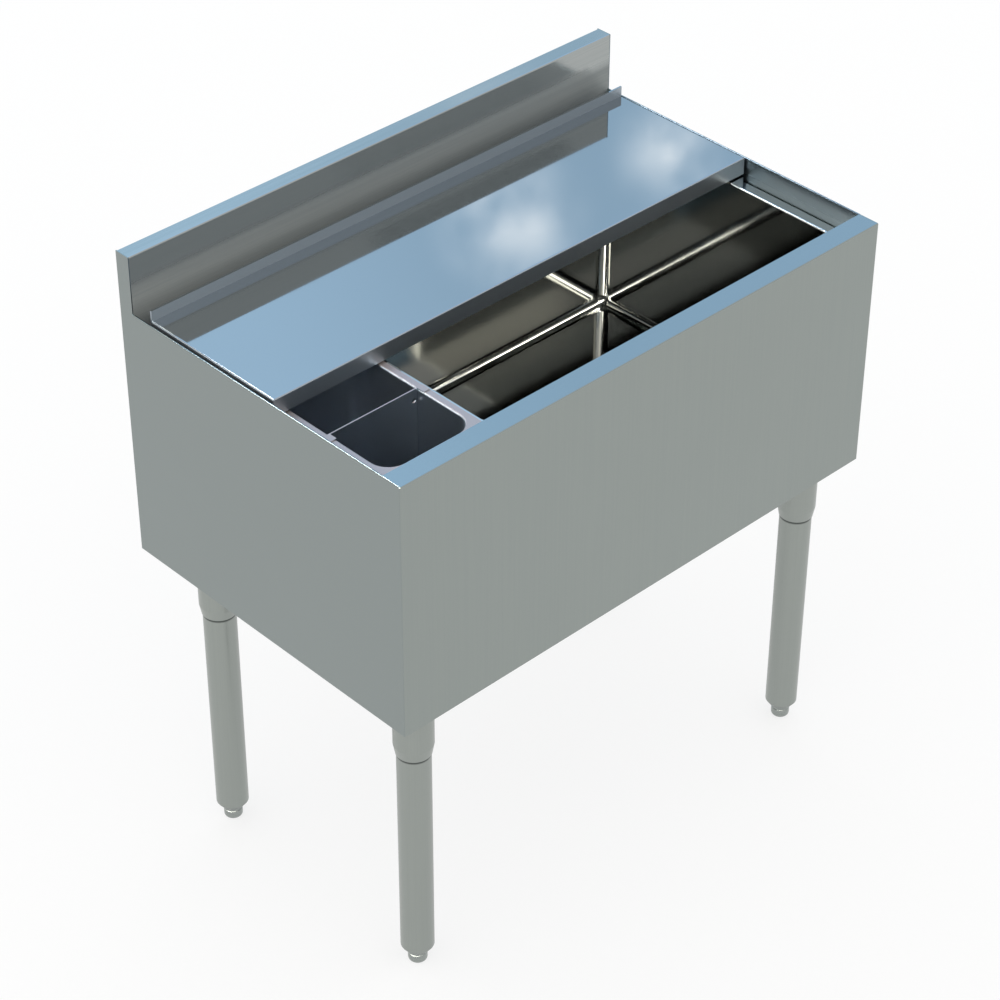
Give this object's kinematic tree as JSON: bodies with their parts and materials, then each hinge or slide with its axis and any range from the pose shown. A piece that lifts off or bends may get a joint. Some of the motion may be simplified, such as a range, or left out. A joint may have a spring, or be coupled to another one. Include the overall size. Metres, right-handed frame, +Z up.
{
  "type": "underbar ice bin",
  "caption": "Stainless underbar ice bin on legs with a raised backsplash, a coved insulated bin, a divided bottle well, a sliding rear cover and adjustable feet.",
  "frame": {"origin": "on the floor under the middle of the cabinet", "axes": "+X along the front from left to right, +Y from front to back, +Z up"},
  "size_m": [0.762, 0.47, 0.838],
  "materials": {
    "outer_sheet": "satin",
    "deck_sheet": "polished",
    "liner_sheet": "polished",
    "well_sheet": "satin",
    "galvanised_sheet": "matte",
    "leg_steel": "satin",
    "foot_steel": "satin",
    "insert_plastic": "satin",
    "foam": "matte",
    "fastener_steel": "satin",
    "drain_steel": "satin",
    "drain_brass": "satin",
    "gasket_rubber": "matte"
  },
  "bodies": {
    "cabinet": {"front_apron": "outer_sheet", "left_side_panel": "outer_sheet", "right_side_panel": "outer_sheet", "backsplash": "deck_sheet", "bin_liner": "liner_sheet", "bottle_well": "well_sheet", "rear_panel": "galvanised_sheet", "bottom_pan": "galvanised_sheet", "leg_channel_left": "galvanised_sheet", "leg_channel_right": "galvanised_sheet", "leg_tube_front_left": "leg_steel", "leg_tube_front_right": "leg_steel", "leg_tube_rear_left": "leg_steel", "leg_tube_rear_right": "leg_steel", "leg_socket_front_left": "leg_steel", "leg_socket_front_right": "leg_steel", "leg_socket_rear_left": "leg_steel", "leg_socket_rear_right": "leg_steel", "foot_insert_front_left": "insert_plastic", "foot_insert_front_right": "insert_plastic", "foot_insert_rear_left": "insert_plastic", "foot_insert_rear_right": "insert_plastic", "insulation_floor": "foam", "insulation_front": "foam", "insulation_rear": "foam", "insulation_left": "foam", "insulation_right": "foam", "insulation_partition": "foam", "insulation_well_base": "foam", "insulation_well_back": "foam", "socket_bolts": "fastener_steel", "channel_nuts": "fastener_steel", "socket_set_screws": "fastener_steel", "rear_panel_screws": "fastener_steel", "drain_body": "drain_steel", "drain_locknut": "drain_brass", "drain_coupling_nut": "drain_brass", "drain_tailpiece": "drain_brass", "drain_gasket": "gasket_rubber"},
    "cover": {"sliding_cover": "deck_sheet"},
    "divider": {"well_divider": "well_sheet"},
    "strainer": {"drain_strainer": "drain_steel"},
    "foot_front_left": {"bullet_foot_front_left": "foot_steel"},
    "foot_front_right": {"bullet_foot_front_right": "foot_steel"},
    "foot_rear_left": {"bullet_foot_rear_left": "foot_steel"},
    "foot_rear_right": {"bullet_foot_rear_right": "foot_steel"}
  },
  "joints": [
    {"name": "cover_slide", "type": "slide", "parent": "cabinet", "child": "cover", "axis": [0, -1, 0], "range_m": [-0.022, 0.178]},
    {"name": "divider_lift", "type": "slide", "parent": "cabinet", "child": "divider", "axis": [0, 0, -1], "range_m": [-0.14, 0]},
    {"name": "strainer_lift", "type": "slide", "parent": "cabinet", "child": "strainer", "axis": [0, 0, -1], "range_m": [-0.06, 0]},
    {"name": "foot_front_left_adjust", "type": "slide", "parent": "cabinet", "child": "foot_front_left", "axis": [0, 0, -1], "range_m": [0, 0.025]},
    {"name": "foot_front_right_adjust", "type": "slide", "parent": "cabinet", "child": "foot_front_right", "axis": [0, 0, -1], "range_m": [0, 0.025]},
    {"name": "foot_rear_left_adjust", "type": "slide", "parent": "cabinet", "child": "foot_rear_left", "axis": [0, 0, -1], "range_m": [0, 0.025]},
    {"name": "foot_rear_right_adjust", "type": "slide", "parent": "cabinet", "child": "foot_rear_right", "axis": [0, 0, -1], "range_m": [0, 0.025]}
  ]
}
